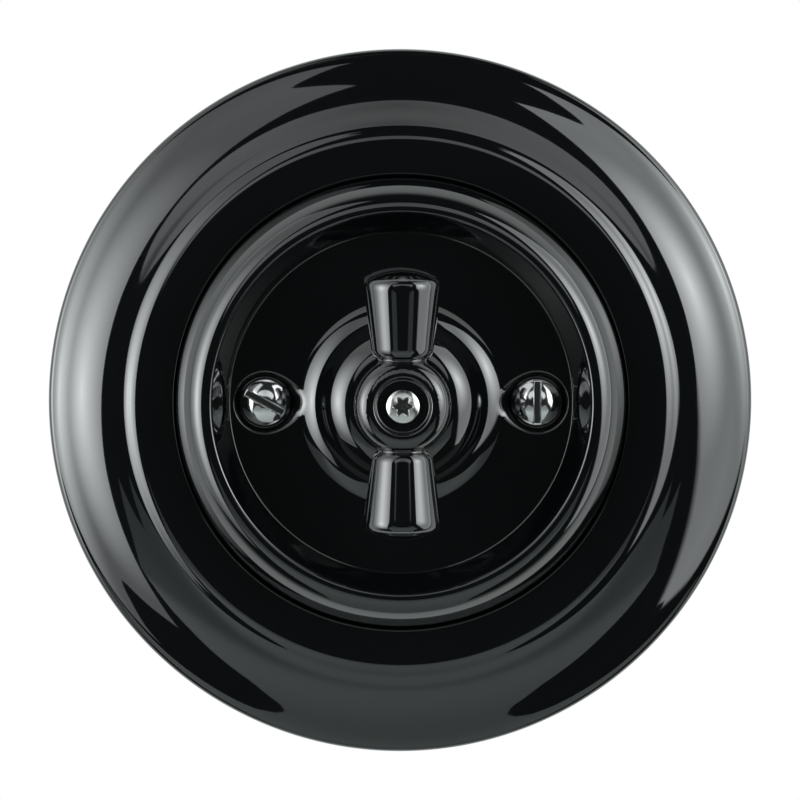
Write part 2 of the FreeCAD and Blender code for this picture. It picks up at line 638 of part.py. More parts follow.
def make_terminal_screw(angle):
    """Clamp screw, driven from the back of the block."""
    screw = pan_head(CLAMP_SCREW_HEAD_R, CLAMP_SCREW_HEAD_EDGE, CLAMP_SCREW_HEAD, 0)
    screw = screw.cut(slot_tool(SLOT_WIDTH, 3 * CLAMP_SCREW_HEAD_R, CLAMP_SLOT_DEPTH, CLAMP_SCREW_HEAD))
    screw = screw.fuse(pointed_shank(CLAMP_SCREW_R, 0, CLAMP_SCREW_LENGTH)).removeSplitter()
    screw.rotate(MIDDLE, V(1, 0, 0), 180)
    screw.translate(V(TERMINAL_R, 0, TERMINAL_LOW_Z))
    return spun(screw, angle)


def make_pieces():
    pieces = {
        "frame_ring": make_frame_ring(),
        "cover_dish": make_cover_dish(),
        "knob": make_knob(),
        "knob_screw": make_knob_screw(),
        "cover_screw_left": make_cover_screw(-SCREW_X, LEFT_SLOT_ANGLE),
        "cover_screw_right": make_cover_screw(SCREW_X, RIGHT_SLOT_ANGLE),
        "cover_nut_left": make_cover_nut(-SCREW_X),
        "cover_nut_right": make_cover_nut(SCREW_X),
        "mounting_plate": make_mounting_plate(),
        "mechanism_front": make_mechanism_front(),
        "mechanism_base": make_mechanism_base(),
        "block_rivets": make_rivets(),
        "spindle_bush": make_spindle_bush(),
        "spindle": make_spindle(),
        "retaining_ring": make_retaining_ring(),
        "rotor": make_rotor(),
        "contact_bridge": make_contact_bridge(),
        "detent_spring_upper": make_detent_spring(1),
        "detent_spring_lower": make_detent_spring(-1),
    }
    for number, angle in enumerate(terminal_angles(), start=1):
        pieces[f"fixed_contact_{number}"] = make_fixed_contact(angle)
        pieces[f"terminal_clamp_{number}"] = make_terminal_clamp(angle)
        pieces[f"terminal_screw_{number}"] = make_terminal_screw(angle)
    return pieces


def main():
    os.makedirs("parts", exist_ok=True)
    for name, shape in make_pieces().items():
        upright = on_the_wall(shape)
        upright.exportStep(f"parts/{name}.step")
        box = upright.BoundBox
        print(f"{name}: valid {upright.isValid()}, {len(upright.Solids)} solid, {upright.Volume:.1f} mm3, "
              f"y {box.YMin:.2f} to {box.YMax:.2f}")
    print(f"land {LAND_Z:.2f}, bead {BEAD_Z:.2f}, floor {FLOOR_Z:.2f}, dome {DOME_Z:.2f}, "
          f"pocket {POCKET_Z:.2f}, hub {HUB_Z:.2f}, arm axis {ARM_Z:.2f}, knob recess {KNOB_RECESS_Z:.2f}, "
          f"screws at {SCREW_X:.3f}, rivets at {RIVET_Y:.3f}, block radius {BLOCK_R:.3f}")


main()
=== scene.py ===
"""Looks of a porcelain rotary wall switch: glazed ring, dished cover, knob, screws and mechanism."""

import itertools
import math

import bmesh
import bpy
import numpy as np
from bpy.props import FloatProperty, FloatVectorProperty, IntProperty, PointerProperty
from mathutils import Matrix, Vector
from mathutils.geometry import delaunay_2d_cdt


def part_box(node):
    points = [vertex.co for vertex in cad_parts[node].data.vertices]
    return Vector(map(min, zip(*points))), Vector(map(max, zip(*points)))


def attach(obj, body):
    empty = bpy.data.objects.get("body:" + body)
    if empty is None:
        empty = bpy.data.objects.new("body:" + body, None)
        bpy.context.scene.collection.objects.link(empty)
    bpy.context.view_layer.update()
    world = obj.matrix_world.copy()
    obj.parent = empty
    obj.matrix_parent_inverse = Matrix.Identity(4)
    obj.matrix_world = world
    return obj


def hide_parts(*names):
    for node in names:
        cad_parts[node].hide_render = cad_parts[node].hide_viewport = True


bl_info = {
    "name": "Porcelain rotary switch",
    "version": (1, 1, 0),
    "blender": (4, 5, 0),
    "location": "3D View > Sidebar > Rotary Switch",
    "description": "Builds the glazed porcelain, the screws and the mechanism of a rotary wall switch",
    "category": "Add Mesh",
}

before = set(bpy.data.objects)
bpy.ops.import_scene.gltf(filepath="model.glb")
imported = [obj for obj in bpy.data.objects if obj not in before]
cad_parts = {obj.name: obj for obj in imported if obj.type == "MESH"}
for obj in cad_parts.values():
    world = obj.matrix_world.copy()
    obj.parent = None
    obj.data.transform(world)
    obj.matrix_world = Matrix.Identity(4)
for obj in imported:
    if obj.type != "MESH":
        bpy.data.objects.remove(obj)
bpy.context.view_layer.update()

WALL_UNIT = "wall_unit"
TURNING_GROUP = "turning_group"
MM = 0.001

# Widths of the rings of the front, in millimetres
MOULDING_WIDTH = 13.0
BEAD_WIDTH = 4.45
DISH_WALL_WIDTH = 3.45
WELL_RIM_R = 4.4
FLOOR_WIDTH = 2 * WELL_RIM_R + 0.3
DOME_WIDTH = 8.4

# Outline of each ring, from the outside in: share of its width, and slope in degrees, rising towards the
# middle
MOULDING_LINE = [(0.95, 20.0), (0.877, 33.0), (0.777, 40.0), (0.662, 33.0), (0.423, 20.0), (0.277, 11.0),
                 (0.177, 19.5), (0.123, 35.0), (0.05, 19.5), (0.0, 0.0)]
BEAD_FOOT_SLOPE = 80.0
BEAD_LINE = [(0.865, 60.0), (0.551, 50.0), (0.416, 40.0), (0.182, 19.3), (0.0, 0.0)]
DISH_WALL_LINE = [(0.783, -60.0), (0.174, -64.0), (0.0, 0.0)]
DOME_LINE = [(0.94, 17.0), (0.774, 29.0), (0.643, 43.0), (0.536, 50.0), (0.405, 43.0), (0.244, 29.0),
             (0.161, 19.5), (0.0, 0.0)]
WELL_LINE = [(0.875, 70.0), (0.784, 0.0)]
WELL_WALL_SLOPE = 66.0
WELL_EDGE_R = 4.25
WELL_BLEND = 0.7
WELL_SADDLE = 2.8
WELL_REACH = 5.6

# Frame ring behind its skin
FRAME_EDGE_HEIGHT = 2.0
FRAME_BACK_RIM = 3.2
FRAME_RIM_BEVEL = 0.8
FRAME_RIM_FOOT = 1.3
FRAME_HOLLOW_SHARE = 0.42
FRAME_HOLLOW_DROP = 1.6
FRAME_SHELL = 3.0
FRAME_INNER_ROUND = 0.45
FRAME_BACK_ROUND = 0.35
LEDGE_THICKNESS = 2.9
LEDGE_WEB = 1.5
LEDGE_WEB_BEVEL = 1.0

# Cover behind its skin
COVER_GAP = 0.25
COVER_SEAT_WIDTH = 2.9
COVER_SEAT_DEPTH = 2.4
COVER_SEAT_PLAY = 0.2
COVER_SHELL = 2.8
COVER_UNDER_INSET = 0.7
COVER_BACK_ROUND = 0.3
BEAD_THICKNESS = 4.4
COVER_BOSS_R = 5.6
COVER_BOSS_LOW = 2.95
COVER_BOSS_ROOT = 0.3
COVER_BOSS_ROUND = 0.2
COVER_SCREW_HOLE_R = 2.1
SPINDLE_BORE_R = 4.0

# Spacing of the points on the cover's skin
WALL_FOOT_REACH = 0.9
DOME_FOOT_REACH = 1.6
WALL_GAP = 0.05
FLOOR_STEP = 0.8
FLOOR_GAP = 0.3
WELL_STEP = 0.06
WELL_MIDDLE_R = 1.2

# Knob
RUNNING_GAP = 0.35
HUB_R = 6.85
HUB_BASE_R = 6.3
HUB_BASE_BEVEL = 0.8
HUB_BASE_ROUND = 0.4
HUB_EDGE_HEIGHT = 6.9
HUB_BOWL_HEIGHT = 8.1
HUB_LINE = [(0.956, 62.0), (0.893, 48.0), (0.818, 31.0), (0.734, 19.3), (0.628, 2.0), (0.591, -50.0),
            (0.555, -60.0), (0.518, 0.0)]
HUB_RECESS_R = 4.3
HUB_BLEND = 0.5
ARM_AXIS_LIFT = 4.95
ARM_NECK_R = 3.3
ARM_NECK_END = 6.3
ARM_SHOULDER_LENGTH = 1.6
ARM_INNER_R = 4.41
ARM_END_R = 5.56
ARM_END_CROWN = 1.6
ARM_END_ROUND = 1.3
ARM_NECK_ROUND = 0.35

# Screw heads
COVER_SCREW_EDGE = 0.9
COVER_SCREW_HEAD = 2.3
COVER_SCREW_ROUND = 0.06
SLOT_DEPTH = 1.1
SLOT_ROUND = 0.16
KNOB_SCREW_R = 2.3
KNOB_SCREW_HEAD = 1.2
KNOB_SCREW_ROUND = 0.04
LOBE_COUNT = 6
LOBE_MEAN_R = 1.2
LOBE_SWING = 0.24
LOBE_FLOOR = 0.35
LOBE_ROUND = 0.12

PAST_AXIS = -3.0
KNOB_MARGIN = 0.8
KNOB_HEIGHTS = (-1.2, 12.5)
KNOB_STEPS = (0.18, 0.5)
COVER_SCREW_STEPS = (0.085, 0.2)
KNOB_SCREW_STEPS = (0.065, 0.15)

# Stage, in metres
FLOOR_LEVEL = -0.42


class PorcelainSettings(bpy.types.PropertyGroup):
    """Glaze and sizes of the three porcelain pieces."""

    glaze: FloatVectorProperty(name="Glaze", description="Colour of the black glaze", subtype="COLOR",
                               size=3, min=0, max=1, default=(0.0022, 0.0028, 0.0031))
    gloss_roughness: FloatProperty(name="Glaze roughness", description="Roughness of the fired glaze",
                                   default=0.045, min=0, max=1)
    ripple: FloatProperty(name="Glaze ripple", description="Height of the slow waves left by the glaze",
                          default=0.00002, unit="LENGTH", subtype="DISTANCE")
    knob_length: FloatProperty(name="Knob length", description="From the end of one arm to the other",
                               default=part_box("knob")[1].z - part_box("knob")[0].z,
                               unit="LENGTH", subtype="DISTANCE")
    frame_radius: FloatProperty(name="Frame radius", description="Outer radius of the frame ring",
                                default=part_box("frame_ring")[1].x, unit="LENGTH", subtype="DISTANCE")
    cover_radius: FloatProperty(name="Cover radius", description="Outer radius of the dished cover",
                                default=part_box("cover_dish")[1].x, unit="LENGTH", subtype="DISTANCE")
    turns: IntProperty(name="Turning segments", description="Segments round each turned porcelain piece",
                       default=288, min=24)


class ScrewSettings(bpy.types.PropertyGroup):
    """Heads of the visible screws."""

    head_radius: FloatProperty(name="Head radius", description="Radius of a cover screw's head",
                               default=0.00336, unit="LENGTH", subtype="DISTANCE")
    slot_width: FloatProperty(name="Slot width", description="Width of the slot in a cover screw",
                              default=0.00093, unit="LENGTH", subtype="DISTANCE")
    left_slot: FloatProperty(name="Left slot", description="Angle of the left screw's slot",
                             default=math.radians(-28.7), subtype="ANGLE")
    right_slot: FloatProperty(name="Right slot", description="Angle of the right screw's slot",
                              default=math.radians(90), subtype="ANGLE")


class StageSettings(bpy.types.PropertyGroup):
    """Camera and lamps."""

    camera_distance: FloatProperty(name="Camera distance", description="From the wall plane to the camera",
                                   default=1.5, unit="LENGTH", subtype="DISTANCE")
    camera_left: FloatProperty(name="Camera to the left", description="How far the camera stands to the left",
                               default=math.radians(1.0), subtype="ANGLE")
    camera_above: FloatProperty(name="Camera above", description="How far the camera stands above",
                                default=math.radians(2.2), subtype="ANGLE")
    view_width: FloatProperty(name="View width", description="Width of the picture at the wall plane",
                              default=0.114, unit="LENGTH", subtype="DISTANCE")
    left_lamp: FloatProperty(name="Left lamp", description="Brightness of the left soft box", default=0.68)
    right_lamp: FloatProperty(name="Right lamp", description="Brightness of the right soft box", default=1.42)
    upper_panel: FloatProperty(name="Upper panel", description="Brightness above the camera", default=0.88)


# Outline helpers: every outline is a list of (radius, height) in millimetres
def arc_points(start, end, turn, steps):
    """Points after start on the arc to end whose direction turns clockwise by turn radians."""
    here = Vector(start)
    chord = Vector(end) - here
    across = Vector((-chord.y, chord.x))
    points = []
    for step in range(1, steps + 1):
        share = step / steps
        if abs(turn) < 1e-6:
            points.append(tuple(here + chord * share))
            continue
        along = math.sin(turn * share / 2) / math.sin(turn / 2)
        lean = turn * (1 - share) / 2
        points.append(tuple(here + (chord * math.cos(lean) + across * math.sin(lean)) * along))
    return points


def flowing_line(start, slope, stations, turn_step):
    """Points of tangent arcs that run inwards from start through each (radius, slope)."""
    points = [start]
    for radius, next_slope in stations:
        mean = math.radians((slope + next_slope) / 2)
        end = (radius, points[-1][1] + (points[-1][0] - radius) * math.tan(mean))
        steps = max(2, math.ceil(abs(next_slope - slope) / turn_step))
        points += arc_points(points[-1], end, math.radians(next_slope - slope), steps)
        slope = next_slope
    return points


def ring_line(start, slope, inner_r, width, shares, turn_step):
    """The flowing line of a ring, whose stations are given as shares of its width."""
    return flowing_line(start, slope, [(inner_r + share * width, angle) for share, angle in shares],
                        turn_step)


def eased(points, reach, steps=5):
    """The same open line with every inner corner rounded off over reach."""
    eased_points = [points[0]]
    for before, corner, after in zip(points, points[1:], points[2:]):
        corner = Vector(corner)
        back = Vector(before) - corner
        ahead = Vector(after) - corner
        start = corner + back.normalized() * min(reach, back.length / 2.2)
        end = corner + ahead.normalized() * min(reach, ahead.length / 2.2)
        for step in range(steps + 1):
            share = step / steps
            point = start * (1 - share) ** 2 + corner * 2 * share * (1 - share) + end * share ** 2
            eased_points.append(tuple(point))
    return eased_points + [points[-1]]


def front_lines(turn_step=1.5):
    """Outlines of the moulding, the bead, the dish wall and the dome, each from the outside in."""
    porcelain = bpy.context.scene.switch_porcelain
    outer = porcelain.frame_radius / MM
    cover = porcelain.cover_radius / MM
    moulding = ring_line((outer, FRAME_EDGE_HEIGHT), 90.0, outer - MOULDING_WIDTH, MOULDING_WIDTH,
                         MOULDING_LINE, turn_step)
    bead_r = cover - BEAD_WIDTH
    bead = ring_line((cover, moulding[-1][1]), BEAD_FOOT_SLOPE, bead_r, BEAD_WIDTH, BEAD_LINE, turn_step)
    floor_r = bead_r - DISH_WALL_WIDTH
    wall = ring_line(bead[-1], 0.0, floor_r, DISH_WALL_WIDTH, DISH_WALL_LINE, turn_step)
    foot = (floor_r - FLOOR_WIDTH, wall[-1][1])
    dome = ring_line(foot, 0.0, foot[0] - DOME_WIDTH, DOME_WIDTH, DOME_LINE, turn_step)
    return moulding, bead, wall, dome


def hub_base_height():
    return front_lines()[3][-1][1] + RUNNING_GAP


# Mesh helpers
def to_space(points):
    """Local millimetres (right, up, in front of the wall) to metres in the shared frame."""
    points = np.asarray(points, float)
    return np.column_stack([points[:, 0], -points[:, 2], points[:, 1]]) * MM


def from_space(points):
    """Metres in the shared frame to local millimetres (right, up, in front of the wall)."""
    return np.column_stack([points[:, 0], points[:, 2], -points[:, 1]]) / MM


def new_mesh(name, points, faces):
    mesh = bpy.data.meshes.new(name)
    mesh.from_pydata([tuple(point) for point in to_space(points)], [], [tuple(face) for face in faces])
    piece = bpy.data.objects.new(name, mesh)
    bpy.context.scene.collection.objects.link(piece)
    return piece


def circle(radius, turns, middle=0.0):
    angles = np.arange(turns) * 2 * math.pi / turns
    return np.column_stack([middle + radius * np.cos(angles), radius * np.sin(angles)])


def lathe_grid(outline, turns, middle=0.0):
    """Points and quads of an open outline turned about the front axis, which may stand off to the right."""
    rings = [np.column_stack([circle(radius, turns, middle), np.full(turns, height)])
             for radius, height in outline]
    faces = []
    for ring in range(len(outline) - 1):
        for turn in range(turns):
            after = (turn + 1) % turns
            faces.append((ring * turns + turn, ring * turns + after, (ring + 1) * turns + after,
                          (ring + 1) * turns + turn))
    return np.concatenate(rings), faces


def join_grids(grids):
    points = np.concatenate([grid[0] for grid in grids])
    faces = []
    start = 0
    for grid_points, grid_faces in grids:
        faces += [tuple(start + corner for corner in face) for face in grid_faces]
        start += len(grid_points)
    return points, faces


def weld(piece, reach=1e-7):
    """Merge doubled points, drop empty faces and turn all faces outwards."""
    work = bmesh.new()
    work.from_mesh(piece.data)
    bmesh.ops.remove_doubles(work, verts=work.verts, dist=reach)
    bmesh.ops.dissolve_degenerate(work, edges=work.edges, dist=reach)
    bmesh.ops.recalc_face_normals(work, faces=work.faces)
    work.to_mesh(piece.data)
    work.free()


def smooth(piece, sharp_angle=40):
    piece.data.shade_smooth()
    piece.data.set_sharp_from_angle(angle=math.radians(sharp_angle))


def lathe(name, outline, turns):
    piece = new_mesh(name, *lathe_grid(outline + outline[:1], turns))
    weld(piece)
    return piece


def outline_distance(across, height, outline):
    """Signed distance in the plane to a closed outline, negative inside."""
    nearest = np.full(across.shape, 1e9)
    inside = np.zeros(across.shape, bool)
    for (x0, y0), (x1, y1) in zip(outline, outline[1:] + outline[:1]):
        dx = x1 - x0
        dy = y1 - y0
        px = across - x0
        py = height - y0
        share = np.clip((px * dx + py * dy) / max(dx * dx + dy * dy, 1e-12), 0, 1)
        nearest = np.minimum(nearest, (px - dx * share) ** 2 + (py - dy * share) ** 2)
        crosses = (y0 > height) != (y1 > height)
        if dy:
            inside ^= crosses & (across < x0 + (height - y0) * dx / dy)
    return np.where(inside, -1, 1) * np.sqrt(nearest)


def soft_union(one, other, blend):
    overlap = np.maximum(blend - np.abs(one - other), 0) / blend
    return np.minimum(one, other) - overlap ** 2 * blend / 4


def soft_cut(solid, tool, blend):
    return -soft_union(-solid, tool, blend)


def gradient(distance, points, reach):
    columns = []
    for axis in range(3):
        shift = np.zeros(3)
        shift[axis] = reach
        columns.append((distance(points + shift) - distance(points - shift)) / (2 * reach))
    return np.stack(columns, -1)


def surface_net(distance, low, high, step):
    """Quads on the surface where distance is nought, from a grid of cubes, pulled onto that surface."""
    low = np.array(low, float)
    counts = [int(math.ceil((high[axis] - low[axis]) / step)) + 1 for axis in range(3)]
    ticks = [low[axis] + step * np.arange(counts[axis]) for axis in range(3)]
    grid = np.stack(np.meshgrid(*ticks, indexing="ij"), -1).reshape(-1, 3)
    inside = (distance(grid) < 0).reshape(counts)
    corners = sum(inside[tuple(slice(o, c - 1 + o) for o, c in zip(offset, counts))].astype(int)
                  for offset in itertools.product((0, 1), repeat=3))
    mixed = (corners > 0) & (corners < 8)
    number = np.full(mixed.shape, -1)
    number[mixed] = np.arange(mixed.sum())
    points = low + (np.argwhere(mixed) + 0.5) * step
    quads = []
    for axis in range(3):
        side, other = [a for a in range(3) if a != axis]
        first = np.take(inside, range(counts[axis] - 1), axis)
        second = np.take(inside, range(1, counts[axis]), axis)
        edges = np.argwhere(first != second)
        ring = []
        for down_side, down_other in ((1, 1), (0, 1), (0, 0), (1, 0)):
            cell = edges.copy()
            cell[:, side] -= down_side
            cell[:, other] -= down_other
            ring.append(number[tuple(cell.T)])
        quads.append(np.stack(ring, -1))
    reach = step * 0.05
    for _ in range(6):
        slope = gradient(distance, points, reach)
        move = slope * (distance(points) / np.maximum((slope ** 2).sum(1), 0.2))[:, None]
        points = points - np.clip(move, -step, step)
    return points, np.concatenate(quads).tolist(), gradient(distance, points, reach)


def shade_exactly(piece, facing):
    """Shade each point by its given direction in local millimetres; points with none keep their own."""
    facing = to_space(facing)
    length = np.linalg.norm(facing, axis=1)[:, None]
    facing = np.where(length > 0, facing / np.maximum(length, 1e-12), 0)
    piece.data.normals_split_custom_set_from_vertices([tuple(normal) for normal in facing])


def carved(name, distance, low, high, step):
    """A closed piece with rounded corners, made where distance is negative, with exact shading."""
    points, faces, slope = surface_net(distance, low, high, step)
    piece = new_mesh(name, points, faces)
    work = bmesh.new()
    work.from_mesh(piece.data)
    bmesh.ops.recalc_face_normals(work, faces=work.faces)
    work.to_mesh(piece.data)
    work.free()
    piece.data.shade_smooth()
    shade_exactly(piece, slope)
    return piece


def softened(node, width):
    """A copy of the solid of that name with all its sharp edges rounded off by width."""
    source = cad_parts[node]
    piece = bpy.data.objects.new(f"{node}_softened", source.data.copy())
    piece.matrix_world = source.matrix_world
    bpy.context.scene.collection.objects.link(piece)
    work = bmesh.new()
    work.from_mesh(piece.data)
    bmesh.ops.remove_doubles(work, verts=work.verts, dist=1e-6)
    bmesh.ops.dissolve_limit(work, angle_limit=math.radians(0.5), verts=work.verts, edges=work.edges)
    edges = [edge for edge in work.edges if edge.calc_face_angle(0) > math.radians(35)]
    bmesh.ops.bevel(work, geom=edges, offset=width, offset_type="OFFSET", segments=2, profile=0.5,
                    affect="EDGES", clamp_overlap=False)
    bmesh.ops.triangulate(work, faces=[face for face in work.faces if len(face.verts) > 4])
    work.to_mesh(piece.data)
    work.free()
    smooth(piece, 50)
    piece.modifiers.new("even_shading", "WEIGHTED_NORMAL").keep_sharp = True
    return piece


def place(piece, body, slot, material, *nodes):
    """Give a piece its finish, its body and the solids that it stands for."""
    piece.data.materials.clear()
    piece.data.materials.append(material)
    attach(piece, body)
    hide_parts(*nodes)


# Material helpers
def new_material(name):
    """A new material, with its node tree and its shader."""
    material = bpy.data.materials.new(name)
    material.use_nodes = True
    tree = material.node_tree
    return material, tree, tree.nodes["Principled BSDF"]


def add_node(tree, kind, inputs=None, **settings):
    node = tree.nodes.new(kind)
    for name, value in settings.items():
        setattr(node, name, value)
    for name, value in (inputs or {}).items():
        if isinstance(value, bpy.types.NodeSocket):
            tree.links.new(value, node.inputs[name])
        else:
            node.inputs[name].default_value = value
    return node


def object_place(tree, scale=(1, 1, 1)):
    """Position in the shared frame, in metres, stretched by scale."""
    where = add_node(tree, "ShaderNodeTexCoord").outputs["Object"]
    return add_node(tree, "ShaderNodeMapping", {"Vector": where, "Scale": scale}).outputs["Vector"]


def noise_of(tree, where, scale, detail=3.0, roughness=0.5):
    return add_node(tree, "ShaderNodeTexNoise", {"Vector": where, "Scale": scale, "Detail": detail,
                                                 "Roughness": roughness}).outputs["Fac"]


def ranged(tree, value, low, high, from_low=0.0, from_high=1.0):
    return add_node(tree, "ShaderNodeMapRange", {"Value": value, "From Min": from_low, "From Max": from_high,
                                                 "To Min": low, "To Max": high}).outputs["Result"]


def bump_of(tree, height, distance, strength=1.0, under=None):
    inputs = {"Height": height, "Distance": distance, "Strength": strength}
    if under is not None:
        inputs["Normal"] = under
    return add_node(tree, "ShaderNodeBump", inputs).outputs["Normal"]


def colour_between(tree, factor, one, other):
    ramp = add_node(tree, "ShaderNodeMix", data_type="RGBA")
    tree.links.new(factor, ramp.inputs["Factor"])
    ramp.inputs["A"].default_value = (*one, 1)
    ramp.inputs["B"].default_value = (*other, 1)
    return ramp.outputs["Result"]


def glaze_material():
    """Deep black glaze: a clear coat over vitreous black, with slow ripples and a fine orange peel."""
    settings = bpy.context.scene.switch_porcelain
    material, tree, shader = new_material("black_glaze")
    where = object_place(tree)
    cloud = noise_of(tree, where, 60.0)
    dark = tuple(settings.glaze)
    pale = tuple(1.5 * channel for channel in dark)
    tree.links.new(colour_between(tree, cloud, dark, pale), shader.inputs["Base Color"])
    fine = noise_of(tree, where, 900.0, 4.0, 0.6)
    rough = ranged(tree, fine, settings.gloss_roughness * 0.8, settings.gloss_roughness * 1.25, 0.35, 0.65)
    tree.links.new(rough, shader.inputs["Roughness"])
    shader.inputs["IOR"].default_value = 1.6
    shader.inputs["Coat Weight"].default_value = 1.0
    shader.inputs["Coat Roughness"].default_value = settings.gloss_roughness
    shader.inputs["Coat IOR"].default_value = 1.55
    waves = bump_of(tree, noise_of(tree, where, 110.0, 1.0), settings.ripple)
    peel = bump_of(tree, noise_of(tree, where, 1400.0, 2.0), settings.ripple * 0.02, 1.0, waves)
    tree.links.new(peel, shader.inputs["Normal"])
    tree.links.new(peel, shader.inputs["Coat Normal"])
    return material


def metal_material(name, colour, roughness, grain=(400.0, 400.0, 400.0), wear=0.25, bump=0.000004):
    """Metal with a fine direction of wear, cloudy roughness and faint scratches."""
    material, tree, shader = new_material(name)
    shader.inputs["Metallic"].default_value = 1.0
    where = object_place(tree)
    grained = object_place(tree, grain)
    cloud = noise_of(tree, where, 350.0)
    worn = tuple(channel * (1 - wear) for channel in colour)
    tree.links.new(colour_between(tree, ranged(tree, cloud, 0, 1, 0.35, 0.7), colour, worn),
                   shader.inputs["Base Color"])
    scratch = noise_of(tree, grained, 6.0, 4.0, 0.7)
    tree.links.new(ranged(tree, scratch, roughness * 0.6, roughness * 1.7, 0.3, 0.7),
                   shader.inputs["Roughness"])
    tree.links.new(bump_of(tree, scratch, bump), shader.inputs["Normal"])
    return material


def matt_material(name, colour, other, roughness, speck_scale=500.0, bump=0.00003):
    """Unglazed or moulded insulator with a speckled, slightly uneven surface."""
    material, tree, shader = new_material(name)
    where = object_place(tree)
    cloud = noise_of(tree, where, 80.0, 4.0, 0.6)
    tree.links.new(colour_between(tree, ranged(tree, cloud, 0, 1, 0.3, 0.7), colour, other),
                   shader.inputs["Base Color"])
    specks = noise_of(tree, where, speck_scale, 5.0, 0.7)
    tree.links.new(ranged(tree, specks, roughness * 0.85, roughness * 1.15, 0.3, 0.7),
                   shader.inputs["Roughness"])
    tree.links.new(bump_of(tree, specks, bump, 0.5), shader.inputs["Normal"])
    return material


def finish(name):
    """The material of that name, made the first time that it is asked for."""
    if name in bpy.data.materials:
        return bpy.data.materials[name]
    makers = {
        "black_glaze": glaze_material,
        "screw_chrome": lambda: metal_material("screw_chrome", (0.9, 0.9, 0.9), 0.19),
        "bright_screw": lambda: metal_material("bright_screw", (0.82, 0.82, 0.81), 0.16),
        "machined_brass": lambda: metal_material("machined_brass", (0.78, 0.56, 0.24), 0.22),
        "contact_brass": lambda: metal_material("contact_brass", (0.8, 0.6, 0.28), 0.28),
        "zinc_plate": lambda: metal_material("zinc_plate", (0.62, 0.64, 0.66), 0.3, (60.0, 60.0, 900.0)),
        "zinc_screw": lambda: metal_material("zinc_screw", (0.66, 0.67, 0.68), 0.25),
        "spring_steel": lambda: metal_material("spring_steel", (0.5, 0.52, 0.55), 0.25),
        "steatite": lambda: matt_material("steatite", (0.74, 0.71, 0.64), (0.66, 0.62, 0.54), 0.55),
        "brown_moulding": lambda: matt_material("brown_moulding", (0.11, 0.06, 0.04), (0.07, 0.04, 0.03),
                                                0.4),
    }
    return makers[name]()


# Frame ring
def frame_ring_outline():
    moulding, bead, _, _ = front_lines()
    outer = moulding[0][0]
    land_r, land = moulding[-1]
    cover_r = bead[0][0]
    seat = land - COVER_SEAT_DEPTH
    hole = cover_r + COVER_GAP
    corner_r = hole + FRAME_INNER_ROUND
    inner_edge = flowing_line((corner_r, land), 0.0, [(hole, -90.0)], 6.0)
    ledge_r = cover_r - COVER_SEAT_WIDTH
    ledge_low = seat - LEDGE_THICKNESS
    under_land = land - FRAME_SHELL
    web_r = hole + LEDGE_WEB
    rim_r = outer - FRAME_BACK_RIM
    hollow_r = land_r + FRAME_HOLLOW_SHARE * MOULDING_WIDTH
    back = [inner_edge[-1], (hole, seat), (ledge_r, seat), (ledge_r, ledge_low), (web_r, ledge_low),
            (web_r + LEDGE_WEB_BEVEL, under_land), (land_r, under_land),
            (hollow_r, under_land - FRAME_HOLLOW_DROP), (rim_r - FRAME_RIM_BEVEL, FRAME_RIM_FOOT),
            (rim_r, 0.0), (outer, 0.0), (outer, FRAME_EDGE_HEIGHT)]
    return moulding + inner_edge[:-1] + eased(back, FRAME_BACK_ROUND)[:-1]


class SWITCH_OT_frame_ring(bpy.types.Operator):
    """Turn the glazed frame ring"""

    bl_idname = "switch.frame_ring"
    bl_label = "Frame ring"

    def execute(self, context):
        ring = lathe("frame_ring_glazed", frame_ring_outline(), context.scene.switch_porcelain.turns)
        smooth(ring, 60)
        place(ring, WALL_UNIT, "porcelain", finish("black_glaze"), "frame_ring")
        return {"FINISHED"}


# Dished cover
def screw_x(name):
    low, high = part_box(name)
    return (low.x + high.x) / 2 / MM


def well_line(floor):
    """Half section of a screw well, from its middle out and on along its wall past the rim."""
    wall_r = WELL_LINE[0][0] * WELL_RIM_R
    rise = math.tan(math.radians(WELL_WALL_SLOPE))
    drop = (WELL_EDGE_R - wall_r) * rise
    line = flowing_line((wall_r, 0.0), -WELL_LINE[0][1], [(WELL_LINE[1][0] * WELL_RIM_R, 0.0)], 4.0)[::-1]
    line.append((2 * WELL_RIM_R, (2 * WELL_RIM_R - wall_r) * rise))
    return [(radius, floor - drop + height) for radius, height in line]


def cover_height():
    """A function that gives the height of the cover's skin at each (right, up) place."""
    _, bead, wall, dome = front_lines(0.4)
    skin_line = np.array((bead + wall[1:] + dome)[::-1])
    well = np.array(well_line(wall[-1][1]))
    screws = [screw_x("cover_screw_left"), screw_x("cover_screw_right")]

    def height(places):
        skin = np.interp(np.hypot(places[:, 0], places[:, 1]), skin_line[:, 0], skin_line[:, 1])
        for middle in screws:
            from_screw = np.hypot(places[:, 0] - middle, places[:, 1])
            inwards = (middle - places[:, 0]) * np.sign(middle) / np.maximum(from_screw, 0.1)
            blend = WELL_BLEND + WELL_SADDLE * np.clip(inwards, 0, 1) ** 4
            skin = soft_union(skin, np.interp(from_screw, well[:, 0], well[:, 1]), blend)
        return skin

    return height


